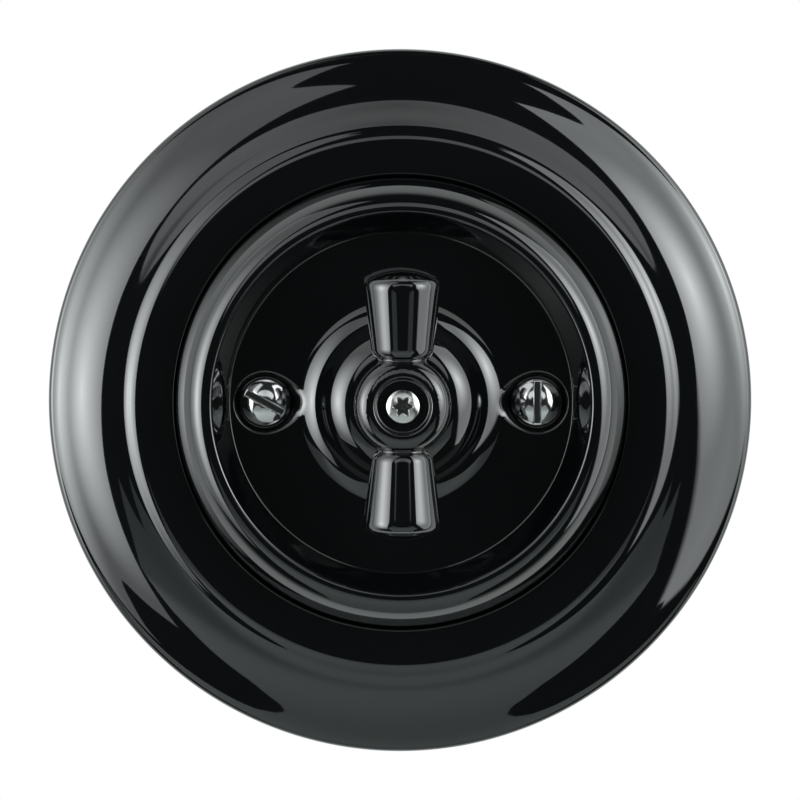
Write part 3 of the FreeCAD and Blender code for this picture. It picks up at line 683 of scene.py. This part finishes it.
def dish_floor_grid(radii, turns, height):
    """The skin between the first and the last of these radii, round the two screw wells."""
    screws = [screw_x("cover_screw_left"), screw_x("cover_screw_right")]
    points = []
    edges = []

    def add_ring(ring, closed):
        start = len(points)
        points.extend(Vector(place) for place in ring)
        if closed:
            edges.extend((start + turn, start + (turn + 1) % len(ring)) for turn in range(len(ring)))

    add_ring(circle(radii[0], turns), True)
    add_ring(circle(radii[-1], turns), True)
    for middle in screws:
        add_ring(circle(WELL_REACH, turns // 2, middle), True)
    for radius in radii[1:-1]:
        ring = circle(radius, turns)
        off_screw = np.min([np.hypot(ring[:, 0] - middle, ring[:, 1]) for middle in screws], axis=0)
        add_ring(ring[off_screw > WELL_REACH + 0.1], False)
    found, _, triangles, *_ = delaunay_2d_cdt(points, edges, [], 1, 1e-9)
    places = np.array([tuple(point) for point in found])
    centres = places[np.array(triangles)].mean(1)
    off_axis = np.hypot(centres[:, 0], centres[:, 1])
    off_screw = np.min([np.hypot(centres[:, 0] - middle, centres[:, 1]) for middle in screws], axis=0)
    kept = (off_axis > radii[-1] * 0.9999) & (off_axis < radii[0]) & (off_screw > WELL_REACH * 0.9995)
    faces = [tuple(triangle) for triangle, keep in zip(triangles, kept) if keep]
    return np.column_stack([places, height(places)]), faces


def well_grid(middle, turns, height):
    """A screw well and its blended rim, out to the ring where the floor begins."""
    inner = [radius for radius, _ in well_line(0.0)[:-1]]
    outer = list(np.arange(inner[-1] + WELL_STEP, WELL_REACH - WELL_STEP / 3, WELL_STEP))
    radii = [WELL_MIDDLE_R] + inner + outer + [WELL_REACH]
    points, faces = lathe_grid([(radius, 0.0) for radius in radii], turns, middle)
    points[:, 2] = height(points[:, :2])
    faces.append(tuple(range(turns)))
    return points, faces


def cover_dish_grid(turns, height):
    """All the skins of the cover: bead and wall, floor with wells, dome and underside, and its two bosses."""
    _, bead, wall, dome = front_lines()
    outer_wall = [point for point in wall[1:] if point[0] > wall[-1][0] + WALL_FOOT_REACH]
    foot = [point for point in front_lines(3.0)[2] if point[0] < outer_wall[-1][0] - WALL_GAP]
    dome_foot = [point for point in dome if point[0] > dome[0][0] - DOME_FOOT_REACH]
    inner_dome = dome[len(dome_foot) - 1:]
    floor_radii = list(np.arange(foot[-1][0] - FLOOR_STEP, dome[0][0] + FLOOR_GAP, -FLOOR_STEP))
    radii = [outer_wall[-1][0]] + [radius for radius, _ in foot] + floor_radii
    radii += [radius for radius, _ in dome_foot[::2]]
    if radii[-1] != dome_foot[-1][0]:
        radii.append(dome_foot[-1][0])
    floor = wall[-1][1]
    bead_top = bead[-1][1]
    under_floor = floor - COVER_SHELL
    under_dome = dome[-1][1] - COVER_SHELL
    cover_r = bead[0][0]
    seat = bead[0][1] - COVER_SEAT_DEPTH
    crown_r = dome[-1][0]
    foot_r = dome[0][0]
    under = [dome[-1], (SPINDLE_BORE_R, dome[-1][1]), (SPINDLE_BORE_R, under_dome), (crown_r, under_dome),
             (foot_r - COVER_UNDER_INSET, under_floor), (wall[-1][0] + COVER_UNDER_INSET, under_floor),
             (cover_r - BEAD_WIDTH, bead_top - BEAD_THICKNESS),
             (cover_r - COVER_SEAT_WIDTH + COVER_SEAT_PLAY, seat), (cover_r, seat), bead[0]]
    boss_root = under_floor + COVER_BOSS_ROOT
    boss = [(COVER_SCREW_HOLE_R, COVER_BOSS_LOW), (COVER_BOSS_R, COVER_BOSS_LOW), (COVER_BOSS_R, boss_root),
            (COVER_SCREW_HOLE_R, boss_root), (COVER_SCREW_HOLE_R, COVER_BOSS_LOW)]
    grids = [lathe_grid(bead + outer_wall, turns), dish_floor_grid(radii, turns, height),
             lathe_grid(inner_dome + eased(under, COVER_BACK_ROUND)[1:], turns)]
    for name in ("cover_screw_left", "cover_screw_right"):
        grids.append(well_grid(screw_x(name), turns // 2, height))
        grids.append(lathe_grid(eased(boss, COVER_BOSS_ROUND), turns // 4, screw_x(name)))
    return join_grids(grids)


def skin_facing(piece, height, inner_r, outer_r):
    """Exact direction of the skin at each of the piece's points that lie on it, and nothing elsewhere."""
    flat = np.empty(len(piece.data.vertices) * 3)
    piece.data.vertices.foreach_get("co", flat)
    points = from_space(flat.reshape(-1, 3))
    reach = 0.01
    facing = np.ones((len(points), 3))
    for axis in range(2):
        shift = np.zeros(2)
        shift[axis] = reach
        rise = height(points[:, :2] + shift) - height(points[:, :2] - shift)
        facing[:, axis] = -rise / (2 * reach)
    off_axis = np.hypot(points[:, 0], points[:, 1])
    on_skin = np.abs(points[:, 2] - height(points[:, :2])) < 0.02
    on_skin &= (off_axis > inner_r) & (off_axis < outer_r)
    return np.where(on_skin[:, None], facing, 0)


class SWITCH_OT_cover_dish(bpy.types.Operator):
    """Build the dish-shaped cover with its two screw wells"""

    bl_idname = "switch.cover_dish"
    bl_label = "Dished cover"

    def execute(self, context):
        settings = context.scene.switch_porcelain
        height = cover_height()
        dish = new_mesh("cover_dish_glazed", *cover_dish_grid(settings.turns, height))
        weld(dish, 2e-6)
        smooth(dish, 60)
        shade_exactly(dish, skin_facing(dish, height, SPINDLE_BORE_R + 0.6, settings.cover_radius / MM - 0.1))
        place(dish, WALL_UNIT, "porcelain", finish("black_glaze"), "cover_dish")
        return {"FINISHED"}


# Knob
def arm_outline():
    """Half section of an arm, from the middle of the knob to the crown of its end."""
    tip = bpy.context.scene.switch_porcelain.knob_length / MM / 2
    end = tip - ARM_END_CROWN
    shoulder = ARM_NECK_END + ARM_SHOULDER_LENGTH
    flare = math.atan((ARM_END_R - ARM_INNER_R) / (end - shoulder))
    rise = math.atan((ARM_INNER_R - ARM_NECK_R) / ARM_SHOULDER_LENGTH)
    neck = [(ARM_NECK_END, ARM_NECK_R)]
    neck += arc_points(neck[0], (shoulder, ARM_INNER_R), 2 * (rise - flare), 12)
    crown_r = (ARM_END_R ** 2 + ARM_END_CROWN ** 2) / (2 * ARM_END_CROWN)
    crown = arc_points((end, ARM_END_R), (tip, 0.0), math.asin(ARM_END_R / crown_r), 16)
    inner = [point for point in crown if point[1] < ARM_END_R - ARM_END_ROUND]
    rim = eased([neck[-1], (end, ARM_END_R), inner[0]], ARM_END_ROUND, 12)[1:]
    start = eased([(PAST_AXIS, ARM_NECK_R), neck[0], neck[1]], ARM_NECK_ROUND)
    return [(PAST_AXIS, PAST_AXIS)] + start + neck[2:] + rim + inner[1:] + [(tip, PAST_AXIS)]


def hub_outline():
    """Half section of the hub, with the recess that its screw stands in."""
    base = hub_base_height()
    edge_height = base + HUB_EDGE_HEIGHT
    shoulder = ring_line((HUB_R, edge_height), 90.0, 0.0, HUB_R, HUB_LINE, 3.0)
    foot = eased([(PAST_AXIS, base), (HUB_BASE_R, base), (HUB_R, base + HUB_BASE_BEVEL),
                  (HUB_R, edge_height)], HUB_BASE_ROUND)
    return shoulder + [(PAST_AXIS, shoulder[-1][1])] + foot[:-1]


def knob_distance():
    """Signed distance to the hub and its two arms, which leave the hub's recess free."""
    hub = hub_outline()
    arm = arm_outline()
    axis = hub_base_height() + ARM_AXIS_LIFT
    bowl_floor = hub_base_height() + HUB_BOWL_HEIGHT

    def distance(points):
        right, up, front = points.T
        from_middle = np.hypot(right, up)
        hub_part = outline_distance(from_middle, front, hub)
        arm_part = outline_distance(np.abs(up), np.hypot(right, front - axis), arm)
        bowl = np.maximum(from_middle - HUB_RECESS_R, bowl_floor - front)
        return soft_union(hub_part, np.maximum(arm_part, -bowl), HUB_BLEND)

    return distance


class SWITCH_OT_knob(bpy.types.Operator):
    """Carve the two-armed knob"""

    bl_idname = "switch.knob"
    bl_label = "Knob"

    def execute(self, context):
        side = HUB_R + KNOB_MARGIN
        end = context.scene.switch_porcelain.knob_length / MM / 2 + KNOB_MARGIN
        low, high = [hub_base_height() + height for height in KNOB_HEIGHTS]
        knob = carved("knob_glazed", knob_distance(), (-side, -end, low), (side, end, high),
                      KNOB_STEPS[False])
        place(knob, TURNING_GROUP, "porcelain_knob", finish("black_glaze"), "knob")
        return {"FINISHED"}


# Screws
def dome_outline(radius, edge, height, seat):
    """Half section of a domed head above its seat."""
    crown = height - edge
    dome_r = (radius ** 2 + crown ** 2) / (2 * crown)
    half_angle = math.asin(radius / dome_r)
    line = [(-radius, seat), (radius, seat), (radius, seat + edge)]
    for step in range(1, 25):
        angle = half_angle * (1 - step / 24)
        line.append((dome_r * math.sin(angle), seat + height - dome_r * (1 - math.cos(angle))))
    return line + [(-radius, seat + height)]


def slotted_head_distance(middle, top, slot_angle, radius, slot_width):
    seat = top - COVER_SCREW_HEAD
    outline = dome_outline(radius, COVER_SCREW_EDGE, COVER_SCREW_HEAD, seat)
    slot_floor = top - SLOT_DEPTH
    cos_angle = math.cos(slot_angle)
    sin_angle = math.sin(slot_angle)

    def distance(points):
        right, up, front = points.T
        right = right - middle
        head = outline_distance(np.hypot(right, up), front, outline) - COVER_SCREW_ROUND
        across = up * cos_angle - right * sin_angle
        slot = np.maximum(np.abs(across) - slot_width / 2, slot_floor - front)
        return soft_cut(head, slot, SLOT_ROUND)

    return distance


def lobed_head_distance(top):
    seat = top - KNOB_SCREW_HEAD
    outline = dome_outline(KNOB_SCREW_R, KNOB_SCREW_HEAD / 2, KNOB_SCREW_HEAD, seat)

    def distance(points):
        right, up, front = points.T
        head = outline_distance(np.hypot(right, up), front, outline) - KNOB_SCREW_ROUND
        lobes = LOBE_MEAN_R + LOBE_SWING * np.cos(LOBE_COUNT * np.arctan2(up, right))
        star = np.hypot(right, up) - lobes
        return soft_cut(head, np.maximum(star, seat + LOBE_FLOOR - front), LOBE_ROUND)

    return distance


class SWITCH_OT_cover_screws(bpy.types.Operator):
    """Carve the two slotted cover screws"""

    bl_idname = "switch.cover_screws"
    bl_label = "Cover screws"

    def execute(self, context):
        settings = context.scene.switch_screws
        radius = settings.head_radius / MM
        step = COVER_SCREW_STEPS[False]
        slots = {"cover_screw_left": settings.left_slot, "cover_screw_right": settings.right_slot}
        for name, angle in slots.items():
            middle = screw_x(name)
            top = -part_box(name)[0].y / MM
            distance = slotted_head_distance(middle, top, angle, radius - COVER_SCREW_ROUND,
                                             settings.slot_width / MM)
            screw = carved(f"{name}_head", distance, (middle - radius - 0.4, -radius - 0.4, top - 2.9),
                           (middle + radius + 0.4, radius + 0.4, top + 0.5), step)
            place(screw, WALL_UNIT, "screw_chrome", finish("screw_chrome"), name)
        return {"FINISHED"}


class SWITCH_OT_knob_screw(bpy.types.Operator):
    """Carve the lobed screw in the middle of the knob"""

    bl_idname = "switch.knob_screw"
    bl_label = "Knob screw"

    def execute(self, context):
        top = -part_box("knob_screw")[0].y / MM
        step = KNOB_SCREW_STEPS[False]
        screw = carved("knob_screw_head", lobed_head_distance(top), (-2.8, -2.8, top - 1.7),
                       (2.8, 2.8, top + 0.4), step)
        place(screw, TURNING_GROUP, "screw_bright", finish("bright_screw"), "knob_screw")
        return {"FINISHED"}


class SWITCH_OT_mechanism(bpy.types.Operator):
    """Give the plate, the block and all that they hold their finishes, and round off the larger ones"""

    bl_idname = "switch.mechanism"
    bl_label = "Mechanism"

    def execute(self, context):
        finishes = {"zinc_plate": ["mounting_plate"], "steatite": ["mechanism_front", "mechanism_base"],
                    "machined_brass": ["cover_nut_left", "cover_nut_right", "spindle_bush", "spindle",
                                       "block_rivets"],
                    "spring_steel": ["retaining_ring", "detent_spring_upper", "detent_spring_lower"],
                    "brown_moulding": ["rotor"], "contact_brass": ["contact_bridge"], "zinc_screw": []}
        for number in range(1, 5):
            finishes["contact_brass"] += [f"fixed_contact_{number}", f"terminal_clamp_{number}"]
            finishes["zinc_screw"].append(f"terminal_screw_{number}")
        for name, nodes in finishes.items():
            for node in nodes:
                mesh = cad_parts[node].data
                mesh.materials.clear()
                mesh.materials.append(finish(name))
        softened_pieces = {"mounting_plate": (0.15, "zinc_steel", "zinc_plate"),
                           "mechanism_base": (0.3, "insulator", "steatite"),
                           "mechanism_front": (0.3, "insulator", "steatite"),
                           "block_rivets": (0.2, "rivet_brass", "machined_brass")}
        for node, (width, slot, name) in softened_pieces.items():
            place(softened(node, width * MM), WALL_UNIT, slot, finish(name), node)
        return {"FINISHED"}


# Stage
def aim(thing, target):
    thing.rotation_euler = (Vector(target) - thing.location).to_track_quat("-Z", "Y").to_euler()


def lamp_distance(tree, middle, reach):
    """Distance on the lamp from middle, where 1 is reach; both are shares of the lamp's sides."""
    where = add_node(tree, "ShaderNodeNewGeometry").outputs["Parametric"]
    centred = add_node(tree, "ShaderNodeVectorMath", operation="SUBTRACT")
    tree.links.new(where, centred.inputs[0])
    centred.inputs[1].default_value = (*middle, 0)
    scaled = add_node(tree, "ShaderNodeVectorMath", operation="MULTIPLY")
    tree.links.new(centred.outputs[0], scaled.inputs[0])
    scaled.inputs[1].default_value = (1 / reach[0], 1 / reach[1], 0)
    length = add_node(tree, "ShaderNodeVectorMath", operation="LENGTH")
    tree.links.new(scaled.outputs[0], length.inputs[0])
    return length.outputs["Value"]


def math_node(tree, operation, *values):
    node = add_node(tree, "ShaderNodeMath", operation=operation)
    for socket, value in zip(node.inputs, values):
        if isinstance(value, bpy.types.NodeSocket):
            tree.links.new(value, socket)
        else:
            socket.default_value = value
    return node.outputs[0]


def brighten_core(lamp, core, middle, reach):
    """Make the lamp core times as bright at middle, changing steeply at first, and unchanged at reach."""
    lamp.use_nodes = True
    tree = lamp.node_tree
    near = ranged(tree, lamp_distance(tree, middle, reach), 1.0, 0.0)
    glow = math_node(tree, "MULTIPLY_ADD", math_node(tree, "POWER", near, 2.0), core - 1.0, 1.0)
    tree.links.new(glow, tree.nodes["Emission"].inputs["Strength"])
    return glow


def fade_corner(lamp, glow, across, along, edge, width):
    """Fade the lamp out where across and along, weighed and added, come below edge."""
    tree = lamp.node_tree
    where = add_node(tree, "ShaderNodeNewGeometry").outputs["Parametric"]
    weighed = add_node(tree, "ShaderNodeVectorMath", operation="DOT_PRODUCT")
    tree.links.new(where, weighed.inputs[0])
    weighed.inputs[1].default_value = (across, along, 0)
    kept = ranged(tree, weighed.outputs["Value"], 0.0, 1.0, edge, edge + width)
    tree.links.new(math_node(tree, "MULTIPLY", glow, kept), tree.nodes["Emission"].inputs["Strength"])


def darken_hole(lamp, glow, middle, reach):
    """Make the lamp dark out to about reach from middle, with a soft edge."""
    tree = lamp.node_tree
    kept = ranged(tree, lamp_distance(tree, middle, reach), 0.0, 1.0, 0.8, 1.1)
    tree.links.new(math_node(tree, "MULTIPLY", glow, kept), tree.nodes["Emission"].inputs["Strength"])


def soft_box(name, centre, across, along, size, brightness, shape="RECTANGLE"):
    """A lamp with its sides along across and along, which shines on the switch and isn't seen itself."""
    lamp = bpy.data.lights.new(name, "AREA")
    lamp.shape = shape
    lamp.size, lamp.size_y = size
    lamp.energy = brightness * math.pi * size[0] * size[1] * (math.pi / 4 if shape == "ELLIPSE" else 1)
    lamp.color = (0.955, 1.0, 1.01)
    centre = Vector(centre)
    up = Vector(along).normalized()
    right = Vector(across)
    right = (right - up * right.dot(up)).normalized()
    back = right.cross(up)
    if back.dot(centre) < 0:
        right = -right
        back = -back
    thing = bpy.data.objects.new(name, lamp)
    thing.matrix_world = Matrix.Translation(centre) @ Matrix((right, up, back)).transposed().to_4x4()
    thing.visible_camera = False
    bpy.context.scene.collection.objects.link(thing)
    return lamp


def white_room():
    """World: white to the camera, pale beside and behind the switch, dark behind the camera."""
    world = bpy.data.worlds.new("white_room")
    world.use_nodes = True
    bpy.context.scene.world = world
    tree = world.node_tree
    background = tree.nodes["Background"]
    direction = add_node(tree, "ShaderNodeTexCoord").outputs["Generated"]
    depth = add_node(tree, "ShaderNodeSeparateXYZ", {"Vector": direction}).outputs["Y"]
    glow = add_node(tree, "ShaderNodeMapRange", {"Value": depth, "From Min": -0.15, "From Max": 0.25,
                                                 "To Min": 0.02, "To Max": 0.8},
                    interpolation_type="SMOOTHSTEP").outputs["Result"]
    seen = add_node(tree, "ShaderNodeLightPath").outputs["Is Camera Ray"]
    lit = math_node(tree, "MULTIPLY", glow, math_node(tree, "SUBTRACT", 1.0, seen))
    tree.links.new(math_node(tree, "ADD", lit, seen), background.inputs["Strength"])
    tree.links.new(colour_between(tree, seen, (0.94, 1.0, 0.99), (1, 1, 1)), background.inputs["Color"])


def pale_floor():
    """A pale floor well below the switch, which widens away from the wall and stays out of the picture."""
    half = [(0.13, 0.02), (0.155, -0.105), (0.21, -0.21), (0.36, -0.36), (0.59, -0.54), (0.78, -1.0),
            (1.2, -2.0), (0.45, -1.45), (0.3, -1.1)]
    corners = half + [(-x, y) for x, y in reversed(half)]
    mesh = bpy.data.meshes.new("pale_floor")
    mesh.from_pydata([(x, y, 0) for x, y in corners], [], [tuple(range(len(corners)))])
    floor = bpy.data.objects.new("pale_floor", mesh)
    floor.location = (0, 0, FLOOR_LEVEL)
    bpy.context.scene.collection.objects.link(floor)
    material, tree, shader = new_material("pale_floor")
    where = add_node(tree, "ShaderNodeTexCoord").outputs["Object"]
    depth = add_node(tree, "ShaderNodeSeparateXYZ", {"Vector": where}).outputs["Y"]
    # Painted shade: the floor's colour runs from pale grey-green away from the wall to dark grey at the wall,
    # standing in for light falling off towards the wall, as the glaze shows it in its reflections.
    away = ranged(tree, depth, 1.0, 0.0, -0.6, 0.0)
    tree.links.new(colour_between(tree, away, (0.27, 0.288, 0.282), (0.6, 0.64, 0.63)),
                   shader.inputs["Base Color"])
    shader.inputs["Roughness"].default_value = 0.9
    floor.data.materials.append(material)
    floor.visible_camera = False


def front_camera():
    settings = bpy.context.scene.switch_stage
    camera = bpy.data.objects.new("front_camera", bpy.data.cameras.new("front_camera"))
    bpy.context.scene.collection.objects.link(camera)
    level = settings.camera_distance * math.cos(settings.camera_above)
    camera.location = (-level * math.sin(settings.camera_left), -level * math.cos(settings.camera_left),
                       settings.camera_distance * math.sin(settings.camera_above))
    aim(camera, (0, 0, 0))
    camera.data.lens = camera.data.sensor_width * settings.camera_distance / settings.view_width
    camera.data.clip_start = 0.05
    bpy.context.scene.camera = camera


class SWITCH_OT_stage(bpy.types.Operator):
    """Set up the camera, the lamps, the white room and the pale floor"""

    bl_idname = "switch.stage"
    bl_label = "Stage"

    def execute(self, context):
        settings = context.scene.switch_stage
        left = soft_box("left_soft_box", centre=(-0.71, -0.219, 0.254), across=(-0.67, 0.72, 0.15),
                        along=(0.2867, -0.0278, 0.9551), size=(0.86, 1.98), brightness=settings.left_lamp)
        brighten_core(left, core=10.0, middle=(0.67, 0.38), reach=(0.73, 0.35))
        right = soft_box("right_soft_box", centre=(0.854, -0.271, -0.048), across=(0.75, 0.66, -0.01),
                         along=(-0.134, 0.166, 0.977), size=(0.95, 1.89), brightness=settings.right_lamp)
        glow = brighten_core(right, core=4.6, middle=(0.21, 0.64), reach=(0.5, 0.24))
        fade_corner(right, glow, across=1.27, along=1.9, edge=0.95, width=0.1)
        upper = soft_box("upper_panel", centre=(0, -1.0, 0.48), across=(1, 0, 0), along=(0, 0, 1),
                         size=(1.24, 0.88), brightness=settings.upper_panel, shape="ELLIPSE")
        glow = brighten_core(upper, core=0.5, middle=(0.5, 0.8), reach=(0.6, 1.2))
        darken_hole(upper, glow, middle=(0.5, 0.0), reach=(0.42, 0.42))
        white_room()
        pale_floor()
        front_camera()
        context.scene.view_settings.view_transform = "Standard"
        return {"FINISHED"}


class SWITCH_PT_panel(bpy.types.Panel):
    """Steps and sizes of the rotary switch"""

    bl_idname = "SWITCH_PT_panel"
    bl_label = "Rotary switch"
    bl_space_type = "VIEW_3D"
    bl_region_type = "UI"
    bl_category = "Rotary Switch"

    def draw(self, context):
        for group in ("switch_porcelain", "switch_screws", "switch_stage"):
            settings = getattr(context.scene, group)
            box = self.layout.box()
            for name in settings.__annotations__:
                box.prop(settings, name)
        for step in STEPS:
            self.layout.operator(step.bl_idname)


STEPS = (SWITCH_OT_frame_ring, SWITCH_OT_cover_dish, SWITCH_OT_knob, SWITCH_OT_cover_screws,
         SWITCH_OT_knob_screw, SWITCH_OT_mechanism, SWITCH_OT_stage)
CLASSES = (PorcelainSettings, ScrewSettings, StageSettings, *STEPS, SWITCH_PT_panel)


def register():
    for kind in CLASSES:
        bpy.utils.register_class(kind)
    bpy.types.Scene.switch_porcelain = PointerProperty(type=PorcelainSettings)
    bpy.types.Scene.switch_screws = PointerProperty(type=ScrewSettings)
    bpy.types.Scene.switch_stage = PointerProperty(type=StageSettings)


def unregister():
    del bpy.types.Scene.switch_stage
    del bpy.types.Scene.switch_screws
    del bpy.types.Scene.switch_porcelain
    for kind in reversed(CLASSES):
        bpy.utils.unregister_class(kind)


def main():
    register()
    bpy.ops.switch.frame_ring()
    bpy.ops.switch.cover_dish()
    bpy.ops.switch.knob()
    bpy.ops.switch.cover_screws()
    bpy.ops.switch.knob_screw()
    bpy.ops.switch.mechanism()
    bpy.ops.switch.stage()


if __name__ == "__main__":
    main()
